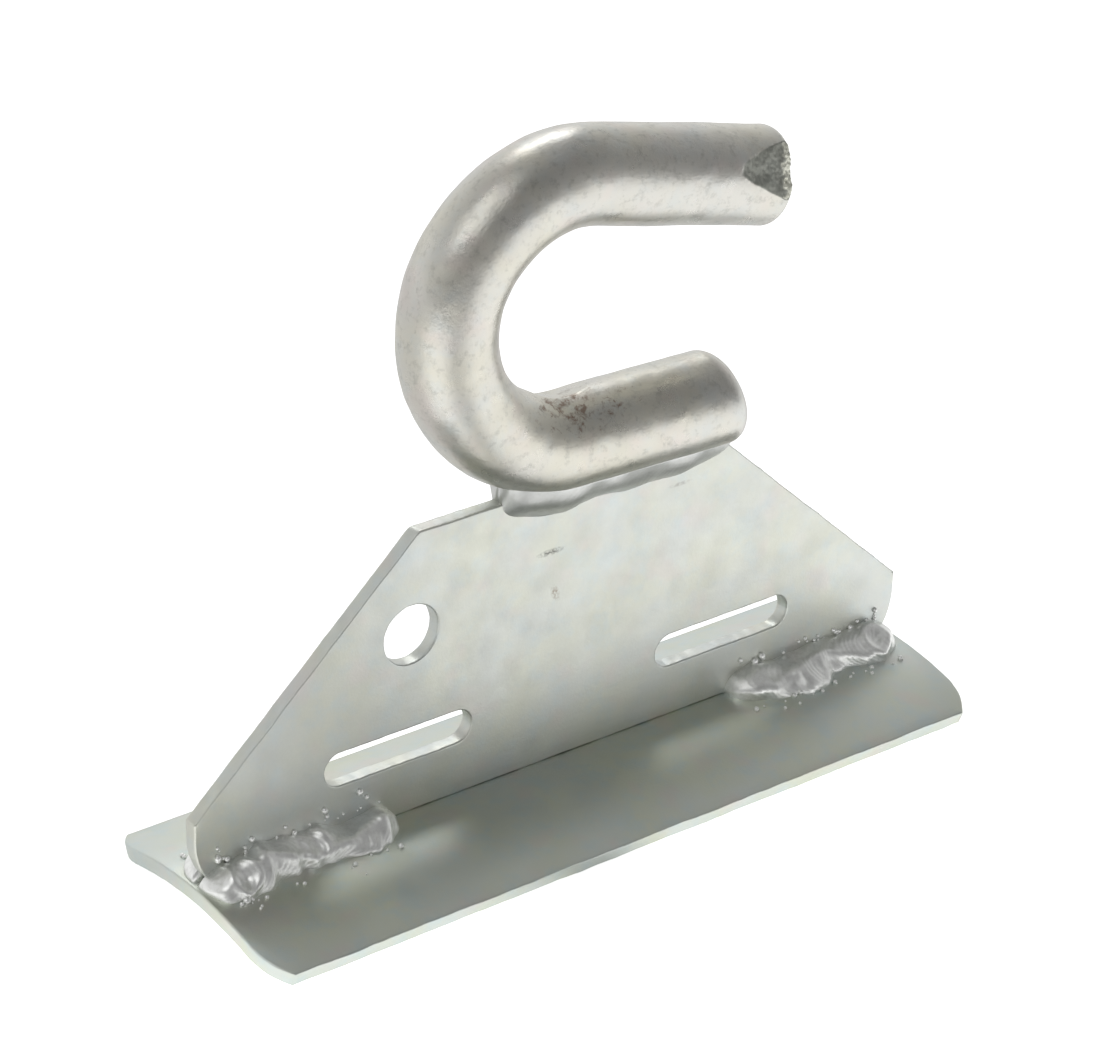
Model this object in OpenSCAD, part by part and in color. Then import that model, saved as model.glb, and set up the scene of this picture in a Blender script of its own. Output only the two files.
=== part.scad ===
// Pole-mounted J hook for aerial cable: a curved saddle strip that seats against the pole,
// an upright web plate strapped through two slots, and a bent round bar welded along its top.
// X runs along the pole, Y across it, Z away from it. The origin is centred under the saddle.

/* [Plates] */
// Length of the saddle strip and of the web plate
plate_len = 160; // [110:1:220]
// Thickness of the saddle strip
saddle_t = 3; // [2:0.1:6]
// Thickness of the web plate
web_t = 3; // [2:0.1:6]
// Radius of the arcs that cut the plate corners
corner_r = 13; // [9:0.5:20]
// Length of each corner arc, measured along the plate's end
corner_run = 9; // [3:0.5:9]

/* [Saddle] */
// Width of the saddle strip over its upper edges
saddle_w = 54.2; // [45:0.2:80]
// Radius of the saddle's upper face
saddle_r = 80.5; // [50:0.5:200]

/* [Web] */
// Height of the web's top edge above the saddle's crown
web_h = 56.2; // [50:0.2:90]
// Height of the web's upright ends above the saddle's crown
web_end_h = 13.1; // [10:0.1:20]
// Length of the web's top edge
web_top_len = 66.6; // [56:0.2:100]
// Radius on the two ends of the web's top edge
web_top_r = 2; // [0.5:0.5:6]

/* [Slots and hole] */
// Length of each strap slot, end to end
slot_len = 31.8; // [20:0.2:40]
// Width of each strap slot
slot_w = 6.7; // [4.2:0.1:8]
// Distance between the two slots' centres
slot_pitch = 74; // [60:0.5:90]
// Height of the slots' centre line above the saddle's crown
slot_z = 13.9; // [13.5:0.1:20]
// Diameter of the round hole
hole_d = 11.6; // [6:0.1:14]
// Distance of the round hole from the web's middle
hole_x = 34.5; // [25:0.5:40]
// Height of the round hole above the saddle's crown
hole_z = 36.2; // [30:0.2:40]

/* [Hook bar] */
// Diameter of the round bar
bar_d = 18; // [12:0.5:22]
// Bend radius at the bar's centre line
bend_r = 24.7; // [20:0.1:32]
// Distance of the bend's centre behind the web's middle
bend_back = 1.2; // [0:0.1:8]
// Angle by which the upper arm dips towards the lower one
arm_dip = 12.4; // [0:0.1:16]
// Straight length of the upper arm
upper_arm = 37.8; // [25:0.1:50]
// Straight length of the lower arm, along its underside
lower_arm = 36.6; // [25:0.1:42]
// Distance of the bar's axis in front of the web's mid plane
bar_forward = 1; // [0:0.1:1.5]
// Angle by which the bar runs out of the web's plane, seen from above
bar_skew = 3.2; // [0:0.1:4]
// Angle by which the hook leans to the back
bar_lean = 1.6; // [0:0.1:4]

/* [Bar ends] */
// Rounding of the lower arm's end
lower_end_r = 3.6; // [1:0.1:4.4]
// Length by which the lower arm's oblique end falls back at its top
lower_end_slant = 3.4; // [1:0.1:6]
// Rounding of the upper arm's end
upper_end_r = 1.6; // [0.5:0.1:4]
// Length of the sheared facet on the upper arm's end
shear_len = 12; // [4:0.5:16]
// Depth of the sheared facet at the very end
shear_depth = 1.8; // [0.5:0.1:4]
// Direction that the sheared facet faces, turned from upward to the front
shear_turn = 67; // [0:1:90]

/* [Welds] */
// Length of each weld between web and saddle
saddle_weld_len = 41; // [25:0.5:60]
// Radius of the saddle welds' round face
saddle_weld_r = 5.2; // [3:0.1:7]
// Distance of the saddle welds' outer ends from the plate's ends
saddle_weld_inset = 0.8; // [0.2:0.1:6]
// Radius of the hook welds' round face
hook_weld_r = 4.4; // [3:0.1:6]
// Length by which the hook welds run on under the bend
hook_weld_back = 13; // [4:0.5:14]
// Pitch of the ripples along every weld
ripple_pitch = 4; // [2:0.5:8]
// Height of the ripples along every weld
ripple_h = 0.3; // [0.1:0.05:0.8]

/* [Hidden] */
// Cut volumes run past what they cut by this much
past = 1;
// Faint ring that the bending die leaves where the lower arm runs into the bend
die_mark_h = 0.02;
die_mark_len = 0.2;
// Fineness of the wide saddle arc, of round bars and of small rounds
arc_fn = 240;
bar_fn = 96;
small_fn = 48;

// Saddle: half angle of its arc, and the crown's height over the edges that stand on the ground
saddle_inner_r = saddle_r - saddle_t;
saddle_half_angle = asin(saddle_w / 2 / saddle_r);
crown_z = saddle_r - saddle_inner_r * cos(saddle_half_angle);
web_top_z = crown_z + web_h;
bar_r = bar_d / 2;
bar_axis_z = web_top_z + bar_r + die_mark_h;
// Inward reach of a corner arc at the plate's long edge
corner_in = corner_r - sqrt(corner_r * corner_r - corner_run * corner_run);
// Saddle weld: its axis lies under the web's face and just under the crown
saddle_weld_out = 0.52 * saddle_weld_r;
saddle_weld_drop = 0.2 * saddle_weld_r;
// Hook weld: its axis lies in the corner between the bar and the web's face
hook_weld_out = 0.43 * hook_weld_r;
hook_weld_drop = 0.23 * hook_weld_r;
hook_weld_len = hook_weld_back + bend_back + web_top_len / 2 + hook_weld_r / 2;

// Outline of a plate with its length along X and one long edge on Y = 0, whose corners on that
// edge are cut by arcs that are tangent to the ends.
module corner_cut_outline(length, depth) {
    side = length / 2 - corner_r;
    intersection() {
        union() {
            translate([-side, 0]) square([2 * side, depth]);
            translate([-length / 2, corner_run]) square([length, depth - corner_run]);
            for (s = [-1, 1]) translate([s * side, corner_run]) circle(corner_r, $fn = bar_fn);
        }
        translate([-length / 2, 0]) square([length, depth]);
    }
}

// Solid under the saddle's upper face, used to seat the web and the welds on it.
module under_saddle() {
    translate([-plate_len, 0, crown_z - saddle_r]) rotate([0, 90, 0])
        cylinder(r = saddle_r, h = 2 * plate_len, $fn = arc_fn);
}

// Arc-shaped strip with radial long edges and its corners cut in plan.
module saddle_solid() {
    reach = saddle_r / cos(saddle_half_angle) + past;
    intersection() {
        translate([-plate_len / 2, 0, crown_z - saddle_r]) rotate([90, 0, 90])
            linear_extrude(plate_len) intersection() {
                difference() {
                    circle(saddle_r, $fn = arc_fn);
                    circle(saddle_inner_r, $fn = arc_fn);
                }
                polygon([
                    [0, 0],
                    [reach * sin(saddle_half_angle), reach * cos(saddle_half_angle)],
                    [-reach * sin(saddle_half_angle), reach * cos(saddle_half_angle)]
                ]);
            }
        translate([0, 0, -past]) linear_extrude(crown_z + 2 * past)
            for (s = [0, 1]) mirror([0, s]) translate([0, -saddle_w / 2])
                corner_cut_outline(plate_len, saddle_w * 0.6);
    }
}

// Six-sided web with rounded shoulders, before its holes are cut.
module web_outline() {
    slope = [plate_len / 2 - web_top_len / 2, web_h - web_end_h];
    shoulder_angle = atan(slope[1] / slope[0]);
    shoulder_back = web_top_r * tan(shoulder_angle / 2);
    intersection() {
        corner_cut_outline(plate_len, web_h);
        union() {
            polygon([
                [-plate_len / 2, -past], [plate_len / 2, -past],
                [plate_len / 2, web_end_h],
                [web_top_len / 2 + shoulder_back * cos(shoulder_angle), web_h - shoulder_back * sin(shoulder_angle)],
                [web_top_len / 2 - shoulder_back, web_h],
                [-web_top_len / 2 + shoulder_back, web_h],
                [-web_top_len / 2 - shoulder_back * cos(shoulder_angle), web_h - shoulder_back * sin(shoulder_angle)],
                [-plate_len / 2, web_end_h]
            ]);
            for (s = [-1, 1]) translate([s * (web_top_len / 2 - shoulder_back), web_h - web_top_r])
                circle(web_top_r, $fn = small_fn);
        }
    }
}

// Slot with round ends, centred on the origin.
module slot_outline() {
    half = (slot_len - slot_w) / 2;
    translate([-half, -slot_w / 2]) square([2 * half, slot_w]);
    for (s = [-1, 1]) translate([s * half, 0]) circle(d = slot_w, $fn = small_fn);
}

module web_solid() {
    difference() {
        translate([0, web_t / 2, crown_z]) rotate([90, 0, 0]) linear_extrude(web_t) difference() {
            web_outline();
            for (s = [-1, 1]) translate([s * slot_pitch / 2, slot_z]) slot_outline();
            translate([-hole_x, hole_z]) circle(d = hole_d, $fn = small_fn);
        }
        under_saddle();
    }
}

// Straight stretch of bar that starts at the origin, runs along +Z and ends with a rounded rim.
module bar_stretch(length, end_r) {
    rotate_extrude($fn = bar_fn) {
        square([bar_r - end_r, length]);
        square([bar_r, length - end_r]);
        translate([bar_r - end_r, length - end_r]) circle(end_r, $fn = small_fn);
    }
}

// Upper arm with its oblique sheared facet. +X is the outside of the bend and +Y is the front.
module upper_arm_stretch() {
    difference() {
        bar_stretch(upper_arm, upper_end_r);
        rotate([0, 0, shear_turn]) translate([bar_r, 0, upper_arm - shear_len])
            rotate([0, -atan(shear_depth / shear_len), 0]) translate([0, -bar_d, -past])
                cube([bar_d, 2 * bar_d, 2 * shear_len + past]);
    }
}

// Lower arm, cut off obliquely so that its top is the shorter. +X is the outside of the bend.
module lower_arm_stretch() {
    difference() {
        bar_stretch(lower_arm, lower_end_r);
        translate([bar_r, 0, lower_arm]) rotate([0, -atan(lower_end_slant / bar_d), 0])
            translate([-2 * bar_d, -bar_d, 0]) cube([3 * bar_d, 2 * bar_d, bar_d]);
    }
}

// Puts a stretch that runs along +Z at an angle round the bend, with its +X facing outwards.
// Turn 1 makes it run on clockwise, and -1 anticlockwise.
module on_bend(angle, turn) {
    rotate([0, 0, angle]) translate([bend_r, 0, 0]) rotate([turn * 90, 0, 0]) children();
}

// The whole bar, bent in one plane, with the lower arm's axis through the origin along X.
module bent_bar() {
    rotate([90, 0, 0]) translate([-bend_back, bend_r, 0]) {
        rotate([0, 0, 90 - arm_dip]) rotate_extrude(angle = 180 + arm_dip, $fn = bar_fn)
            translate([bend_r, 0]) circle(bar_r, $fn = bar_fn);
        on_bend(90 - arm_dip, 1) upper_arm_stretch();
        on_bend(-90, -1) translate([0, 0, -die_mark_len / 2])
            cylinder(r = bar_r + die_mark_h, h = die_mark_len, $fn = bar_fn);
        on_bend(-90, -1) lower_arm_stretch();
    }
}

module hook_solid() {
    translate([0, -bar_forward, bar_axis_z]) rotate([0, 0, -bar_skew]) rotate([-bar_lean, 0, 0])
        bent_bar();
}

// Round weld bead along X from the origin, with full ends and a row of shallow ripples.
module ripple_rod(length, radius) {
    count = round(length / ripple_pitch);
    step = length / count / 2;
    function rim(i) = radius * sqrt(1 - pow(abs(i / count - 1), 5)) - ripple_h * (i % 2 == 0 ? 1 : 0);
    rotate([0, 90, 0]) rotate_extrude($fn = small_fn) polygon([
        [0, 0],
        for (i = [1 : 2 * count - 1]) [rim(i), i * step],
        [0, length]
    ]);
}

// Weld in the corner between the web's front face and the saddle, on the right half.
module saddle_weld() {
    start_x = plate_len / 2 - saddle_weld_inset - saddle_weld_len;
    difference() {
        intersection() {
            translate([start_x, -web_t / 2 - saddle_weld_out, crown_z - saddle_weld_drop])
                ripple_rod(saddle_weld_len, saddle_weld_r);
            translate([0, -web_t / 2 - saddle_w, 0]) cube([plate_len, saddle_w, web_h]);
        }
        under_saddle();
    }
}

// Weld in the corner between the bar's underside and the web, on the side given by s.
module hook_weld(s) {
    difference() {
        intersection() {
            translate([-bend_back - hook_weld_back, s * (web_t / 2 + hook_weld_out), web_top_z - hook_weld_drop])
                ripple_rod(hook_weld_len, hook_weld_r);
            translate([-plate_len / 2, s > 0 ? 0 : -saddle_w, 0]) cube([plate_len, saddle_w, 2 * web_top_z]);
        }
        web_solid();
        hook_solid();
    }
}

module saddle_plate() { color("#9AA49B") saddle_solid(); }
module web_plate() { color("#C9CCC4") web_solid(); }
module hook_bar() { color("#B9B8AE") hook_solid(); }
module saddle_weld_front_left() { color("#D8DAD6") mirror([1, 0, 0]) saddle_weld(); }
module saddle_weld_front_right() { color("#D8DAD6") saddle_weld(); }
module saddle_weld_back_left() { color("#D8DAD6") rotate([0, 0, 180]) saddle_weld(); }
module saddle_weld_back_right() { color("#D8DAD6") mirror([0, 1, 0]) saddle_weld(); }
module hook_weld_front() { color("#A9AFA9") hook_weld(-1); }
module hook_weld_back() { color("#A9AFA9") hook_weld(1); }

saddle_plate();
web_plate();
hook_bar();
saddle_weld_front_left();
saddle_weld_front_right();
saddle_weld_back_left();
saddle_weld_back_right();
hook_weld_front();
hook_weld_back();
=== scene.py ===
"""Finishes a pole-mounted J hook: rounded plate rims, the bent bar, weld metal and zinc plating."""

import math

import bmesh
import bpy
import numpy as np
from bpy.props import FloatProperty, FloatVectorProperty, IntProperty, PointerProperty
from mathutils import Matrix, Vector


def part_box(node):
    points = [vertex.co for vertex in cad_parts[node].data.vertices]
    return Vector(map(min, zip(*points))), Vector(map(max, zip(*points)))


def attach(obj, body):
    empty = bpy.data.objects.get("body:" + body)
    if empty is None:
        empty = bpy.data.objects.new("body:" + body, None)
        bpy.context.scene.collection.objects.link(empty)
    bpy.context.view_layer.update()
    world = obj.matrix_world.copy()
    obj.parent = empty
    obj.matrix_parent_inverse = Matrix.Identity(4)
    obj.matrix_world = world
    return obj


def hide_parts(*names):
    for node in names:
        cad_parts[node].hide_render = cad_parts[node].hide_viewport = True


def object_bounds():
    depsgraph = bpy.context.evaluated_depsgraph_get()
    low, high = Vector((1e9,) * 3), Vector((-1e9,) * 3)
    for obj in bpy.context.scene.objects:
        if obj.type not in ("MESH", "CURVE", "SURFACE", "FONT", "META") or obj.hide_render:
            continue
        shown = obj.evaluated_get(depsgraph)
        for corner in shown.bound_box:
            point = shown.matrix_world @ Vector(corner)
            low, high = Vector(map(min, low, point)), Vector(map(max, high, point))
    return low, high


bl_info = {
    "name": "Pole J hook finish",
    "version": (1, 0, 0),
    "blender": (4, 5, 0),
    "location": "3D View > Sidebar > J hook",
    "description": "Builds the visible surfaces of a zinc-plated pole hook over its engineering model",
    "category": "Object",
}

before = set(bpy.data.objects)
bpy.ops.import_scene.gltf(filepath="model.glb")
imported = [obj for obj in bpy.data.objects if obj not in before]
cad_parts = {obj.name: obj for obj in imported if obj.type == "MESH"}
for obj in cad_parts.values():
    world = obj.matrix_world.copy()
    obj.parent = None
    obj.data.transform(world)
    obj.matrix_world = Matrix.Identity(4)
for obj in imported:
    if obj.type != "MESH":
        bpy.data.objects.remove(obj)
CAD_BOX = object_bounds()
WEB_LOW, WEB_HIGH = (np.array(corner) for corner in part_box("web_plate"))
SADDLE_LOW, SADDLE_HIGH = (np.array(corner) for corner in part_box("saddle_plate"))
CROWN_Z = SADDLE_HIGH[2]
MM = 0.001
PLATE_LEN = SADDLE_HIGH[0] - SADDLE_LOW[0]
SADDLE_W = SADDLE_HIGH[1] - SADDLE_LOW[1]
WEB_T = WEB_HIGH[1] - WEB_LOW[1]
WEB_TOP = WEB_HIGH[2]
WEB_FRONT = WEB_LOW[1]


def length(name, description, default, low=0.0, high=0.3):
    """A size property in metres that the sidebar shows with its unit."""
    return FloatProperty(name=name, description=description, default=default, min=low, max=high,
                         subtype="DISTANCE", unit="LENGTH", precision=5)


def colour(name, description, default):
    """A colour property in linear RGB."""
    return FloatVectorProperty(name=name, description=description, default=default, size=3,
                               min=0.0, max=1.0, subtype="COLOR")


def turn(name, description, degrees):
    """An angle property given in degrees."""
    return FloatProperty(name=name, description=description, default=math.radians(degrees),
                         subtype="ANGLE", unit="ROTATION")


class PlateSizes(bpy.types.PropertyGroup):
    """Sizes of the saddle strip and the web plate."""
    thickness: length("Saddle thickness", "Thickness of the saddle strip", 3 * MM)
    saddle_r: length("Saddle radius", "Radius of the saddle's upper face", 80.5 * MM)
    corner_r: length("Corner radius", "Radius of the arcs that cut the corners", 13 * MM)
    corner_run: length("Corner run", "Length of a corner arc along the plate's end", 9 * MM)
    rim_round: length("Rim rounding", "Rounding that plating leaves on a sheared rim", 0.35 * MM)
    web_end_h: length("Web end height", "Height of the web's upright ends", 13.1 * MM)
    web_top_len: length("Web top length", "Length of the web's top edge", 66.6 * MM)
    web_top_r: length("Web top radius", "Radius on the ends of the top edge", 2 * MM)
    slot_len: length("Slot length", "Length of each strap slot", 31.8 * MM)
    slot_w: length("Slot width", "Width of each strap slot", 6.7 * MM)
    slot_pitch: length("Slot pitch", "Distance between the slots' centres", 74 * MM)
    slot_z: length("Slot height", "Height of the slots above the crown", 13.9 * MM)
    hole_d: length("Hole diameter", "Diameter of the round hole", 11.6 * MM)
    hole_x: length("Hole offset", "Distance of the hole from the web's middle", 34.5 * MM)
    hole_z: length("Hole height", "Height of the hole above the crown", 36.2 * MM)


class BarSizes(bpy.types.PropertyGroup):
    """Sizes of the bent round bar."""
    diameter: length("Bar diameter", "Diameter of the round bar", 18 * MM)
    bend_r: length("Bend radius", "Bend radius at the centre line", 24.7 * MM)
    bend_back: length("Bend offset", "Distance of the bend's centre behind the middle", 1.2 * MM)
    arm_dip: turn("Arm dip", "Angle by which the upper arm dips", 12.4)
    upper_arm: length("Upper arm", "Straight length of the upper arm", 37.8 * MM)
    lower_arm: length("Lower arm", "Straight length of the lower arm, along its underside", 36.6 * MM)
    forward: length("Bar offset", "Distance of the bar's axis in front of the web's middle", 1 * MM)
    skew: turn("Bar skew", "Turn of the bar out of the web's plane", 3.2)
    lean: turn("Bar lean", "Lean of the hook to the back", 1.6)
    lower_slant: length("Lower end slant", "Length by which the lower end falls back at its top", 3.4 * MM)
    lower_round: length("Lower end rounding", "Rounding of the lower end's rim", 3.8 * MM)
    tip_round: length("Upper end rounding", "Rounding of the upper end's rim", 1.6 * MM)
    shear_len: length("Shear length", "Length of the sheared facet", 12 * MM)
    shear_depth: length("Shear depth", "Depth of the sheared facet at the end", 1.8 * MM)
    shear_turn: turn("Shear direction", "Direction that the facet faces, from outward to front", 67)
    press_depth: length("Press mark depth", "Depth of the flat that the bending die pressed", 0.9 * MM)


class WeldSizes(bpy.types.PropertyGroup):
    """Sizes of the weld beads and their spatter."""
    saddle_len: length("Saddle weld length", "Length of each web to saddle bead", 41 * MM)
    saddle_inset: length("Saddle weld inset", "Distance of a bead from the plate's end", 0.8 * MM)
    web_leg: length("Web leg", "Height of the bead up the web", 4.2 * MM)
    saddle_leg: length("Saddle leg", "Reach of the bead along the saddle", 7.6 * MM)
    hook_back: length("Hook weld run-on", "Length of the hook bead under the bend", 14 * MM)
    hook_leg: length("Hook weld leg", "Height of the hook bead down the web", 5.2 * MM)
    ripple: length("Ripple height", "Height of the ripples", 0.022 * MM)
    pitch: length("Ripple pitch", "Pitch of the ripples", 1.2 * MM)
    ridge: length("Ridge height", "Height of the winding ridge that the arc left", 0.6 * MM)
    spatter: IntProperty(name="Spatter", description="Number of spatter balls along each bead",
                         default=46, min=0, max=400)


class Finishes(bpy.types.PropertyGroup):
    """Colours of the zinc plating and its stains."""
    web_zinc: colour("Web zinc", "Pale plating on the web", (0.61, 0.63, 0.60))
    saddle_zinc: colour("Saddle zinc", "Duller plating on the saddle", (0.62, 0.66, 0.62))
    bar_zinc: colour("Bar zinc", "Grainy plating on the bar", (0.60, 0.59, 0.55))
    weld_zinc: colour("Weld zinc", "Bright plating on the weld metal", (0.90, 0.91, 0.89))
    rust: colour("Rust", "Stain inside the bend", (0.20, 0.12, 0.085))


# ---------------------------------------------------------------- surfaces

def waves(points, size, seed, count=24):
    """Smooth noise between about -1 and 1: the mean of sine waves in random directions, each with a
    wavelength near the given size."""
    rng = np.random.default_rng(seed)
    direction = rng.normal(size=(count, 3))
    direction /= np.linalg.norm(direction, axis=1)[:, None]
    rate = 2 * np.pi / (size * rng.uniform(0.6, 1.6, count))
    phase = rng.uniform(0, 2 * np.pi, count)
    return np.sin(points @ (direction * rate[:, None]).T + phase).sum(axis=-1) * 2 / count ** 0.5 / 1.6


def smooth(low, high, value):
    """Smoothstep from 0 at low to 1 at high."""
    t = np.clip((value - low) / (high - low), 0, 1)
    return t * t * (3 - 2 * t)


def grid_quads(rows, cols, wrap):
    """Quads between neighbouring points of a grid with the columns wrapped round if asked."""
    i = np.arange(rows - 1)[:, None]
    j = np.arange(cols if wrap else cols - 1)[None, :]
    k = (j + 1) % cols
    return np.stack([i * cols + j, i * cols + k, (i + 1) * cols + k, (i + 1) * cols + j], -1).reshape(-1, 4)


def make_mesh(name, points, quads, wear=None):
    """Puts points and quads into a mesh object at the origin, merges doubles, turns the faces
    outwards, and keeps an optional number per point as the attribute wear."""
    mesh = bpy.data.meshes.new(name)
    mesh.from_pydata(points.reshape(-1, 3).tolist(), [], quads.tolist())
    if wear is not None:
        layer = mesh.attributes.new("wear", "FLOAT", "POINT")
        layer.data.foreach_set("value", np.ascontiguousarray(wear, dtype=np.float32).reshape(-1))
    piece = bpy.data.objects.new(name, mesh)
    bpy.context.scene.collection.objects.link(piece)
    work = bmesh.new()
    work.from_mesh(mesh)
    bmesh.ops.remove_doubles(work, verts=work.verts, dist=1e-6)
    bmesh.ops.recalc_face_normals(work, faces=work.faces)
    work.to_mesh(mesh)
    work.free()
    mesh.shade_smooth()
    return piece


def finish_piece(piece, material, nodes):
    """Gives a piece its material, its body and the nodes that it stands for."""
    piece.data.materials.clear()
    piece.data.materials.append(material)
    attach(piece, "root")
    if nodes:
        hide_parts(*nodes)
    return piece


def arc(centre, radius, start, end, count):
    """Points on a circular arc between two angles in degrees."""
    a = np.radians(np.linspace(start, end, count))
    return np.stack([centre[0] + radius * np.cos(a), centre[1] + radius * np.sin(a)], -1)


def even(loop, step):
    """Resamples a closed outline at an even step and keeps its corners to within that step."""
    closed = np.vstack([loop, loop[:1]])
    run = np.r_[0, np.cumsum(np.linalg.norm(np.diff(closed, axis=0), axis=1))]
    keep = np.r_[True, np.diff(run) > 1e-9]
    closed, run = closed[keep], run[keep]
    at = np.unique(np.r_[run[:-1], np.arange(0, run[-1], step)])
    at = at[np.r_[True, np.diff(at) > step * 0.05]]
    return np.stack([np.interp(at, run, closed[:, k]) for k in (0, 1)], -1)


def loop_normals(loop):
    """Unit vectors pointing out of an anticlockwise closed outline, averaged over two neighbours."""
    ahead = np.roll(loop, -1, 0) - loop
    behind = loop - np.roll(loop, 1, 0)
    ahead /= np.linalg.norm(ahead, axis=1)[:, None]
    behind /= np.linalg.norm(behind, axis=1)[:, None]
    mean = ahead + behind
    mean /= np.linalg.norm(mean, axis=1)[:, None]
    return np.stack([mean[:, 1], -mean[:, 0]], -1)


def rim_profile(thickness, rounding, steps=5):
    """Half-round profile of a plate's rim: pairs of inward offset and height, from the lower face
    over the rim to the upper face. Both corners are quarter circles."""
    a = np.radians(np.linspace(0, 90, steps))
    low = np.stack([rounding * (1 - np.sin(a)), rounding * (1 - np.cos(a))], -1)
    high = np.stack([low[::-1, 0], thickness - low[::-1, 1]], -1)
    middle = np.stack([np.zeros(3), np.linspace(0.25, 0.75, 3) * thickness], -1)
    return np.vstack([low, middle, high])


def web_outline(p):
    """Six-sided outline with rounded shoulders and arcs cut from its two lower corners, listed
    anticlockwise as x and height above the crown."""
    half, top, shoulder = PLATE_LEN / 2, WEB_TOP - CROWN_Z, p.web_top_len / 2
    slope = math.degrees(math.atan2(top - p.web_end_h, half - shoulder))
    back = p.web_top_r * math.tan(math.radians(slope / 2))
    corner = math.degrees(math.asin(p.corner_run / p.corner_r))
    right = np.vstack([
        arc((half - p.corner_r, p.corner_run), p.corner_r, -corner, 0, 14),
        [[half, p.web_end_h]],
        arc((shoulder - back, top - p.web_top_r), p.web_top_r, 90 - slope, 90, 8),
    ])
    left = right[::-1] * [-1, 1]
    return np.vstack([right, left])


def slot_outline(p, x):
    """Round-ended slot about a centre on the slots' line."""
    half = (p.slot_len - p.slot_w) / 2
    return np.vstack([arc((x + half, p.slot_z), p.slot_w / 2, -90, 90, 25),
                      arc((x - half, p.slot_z), p.slot_w / 2, 90, 270, 25)])


def build_web(p):
    """Web plate: each outline's rim is its rounded profile carried round the outline, with slight
    shear lumps, and the two flat faces are filled between the rims."""
    loops = [web_outline(p), slot_outline(p, -p.slot_pitch / 2), slot_outline(p, p.slot_pitch / 2),
             arc((-p.hole_x, p.hole_z), p.hole_d / 2, 0, 360, 73)[:-1]]
    profile = rim_profile(WEB_T, p.rim_round)
    work = bmesh.new()
    wear_layer = work.verts.layers.float.new("wear")
    for number, loop in enumerate(loops):
        loop = even(loop, 0.7 * MM)
        normal = loop_normals(loop) * (1 if number == 0 else -1)
        flat = np.c_[loop[:, 0], np.zeros(len(loop)), loop[:, 1]]
        inset = profile[None, :, 0] * np.ones((len(loop), 1))
        spread = np.repeat(flat[:, None], len(profile), 1) + [0, 0, 0]
        spread[..., 1] = profile[None, :, 1]
        lump = 0.03 * MM * waves(spread, 2.4 * MM, 5 + number) * smooth(0, p.rim_round, p.rim_round - inset)
        lump += 0.03 * MM * waves(spread, 9 * MM, 15 + number)
        lump[:, [0, -1]] = 0
        rim = np.empty((len(loop), len(profile), 3))
        rim[..., 0] = loop[:, None, 0] - normal[:, None, 0] * (inset - lump)
        rim[..., 2] = loop[:, None, 1] - normal[:, None, 1] * (inset - lump) + CROWN_Z
        rim[..., 1] = WEB_HIGH[1] - profile[None, :, 1]
        wear = smooth(0.9, 0.2, inset / p.rim_round) * np.ones_like(lump)
        verts = [work.verts.new(point) for point in rim.reshape(-1, 3)]
        for vert, value in zip(verts, wear.reshape(-1)):
            vert[wear_layer] = value
        for quad in grid_quads(len(profile), len(loop), True):
            row, col = quad // len(loop), quad % len(loop)
            work.faces.new([verts[c * len(profile) + r] for r, c in zip(row, col)])
    rims = [edge for edge in work.edges if len(edge.link_faces) == 1]
    for side in (WEB_LOW[1], WEB_HIGH[1]):
        chosen = [e for e in rims if abs(e.verts[0].co.y - side) < 1e-6 and abs(e.verts[1].co.y - side) < 1e-6]
        bmesh.ops.triangle_fill(work, edges=chosen, use_beauty=True, use_dissolve=False)
    bmesh.ops.recalc_face_normals(work, faces=work.faces)
    mesh = bpy.data.meshes.new("web_skin")
    work.to_mesh(mesh)
    work.free()
    mesh.shade_smooth()
    piece = bpy.data.objects.new("web_skin", mesh)
    bpy.context.scene.collection.objects.link(piece)
    weighted = piece.modifiers.new("Flat faces", "WEIGHTED_NORMAL")
    weighted.keep_sharp = True
    return piece


def saddle_height(y, p):
    """Height of the saddle's upper face at a distance across it."""
    return CROWN_Z - p.saddle_r + np.sqrt(p.saddle_r ** 2 - y ** 2)


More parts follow.
